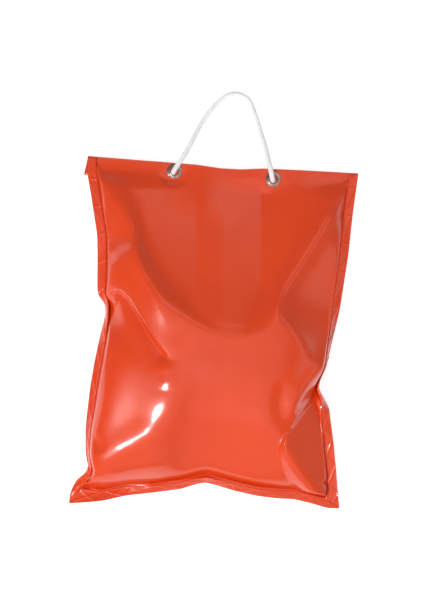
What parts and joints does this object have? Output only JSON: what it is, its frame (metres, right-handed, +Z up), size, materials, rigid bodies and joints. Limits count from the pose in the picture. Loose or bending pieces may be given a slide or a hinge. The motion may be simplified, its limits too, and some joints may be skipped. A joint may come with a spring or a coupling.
{
  "type": "ballast sandbag",
  "caption": "Sand-filled ballast bag of glossy coated cloth with welded edge seams, a folded-over mouth, two eyelets and a rope handle, lying on its back.",
  "frame": {"origin": "on the floor, under the middle of the bag's box, measured without the rope", "axes": "+Z up from the face the bag lies on, +Y from the foot seam towards the hem and handle, +X to the right seen from above"},
  "size_m": [0.404, 0.6197, 0.098],
  "materials": {
    "coated_cloth": "glossy",
    "sand": "matte",
    "eyelet_metal": "polished",
    "rope": "braided"
  },
  "bodies": {
    "bag": {"front_panel": "coated_cloth", "back_panel": "coated_cloth", "left_weld_seam": "coated_cloth", "right_weld_seam": "coated_cloth", "bottom_weld_seam": "coated_cloth", "mouth_flap": "coated_cloth", "sand_fill": "sand", "left_eyelet": "eyelet_metal", "right_eyelet": "eyelet_metal", "left_eyelet_washer": "eyelet_metal", "right_eyelet_washer": "eyelet_metal", "cord_return_left": "rope", "cord_return_right": "rope", "cord_tail_left": "rope", "cord_tail_right": "rope", "cord_knot": "rope"},
    "handle": {"handle_cord": "rope"}
  },
  "joints": [
    {"name": "handle_swing", "type": "hinge", "parent": "bag", "child": "handle", "pos_m": [0.004, 0.2386, 0.01775], "axis": [0.9996, -0.0274, 0], "range_deg": [0, 155]}
  ]
}
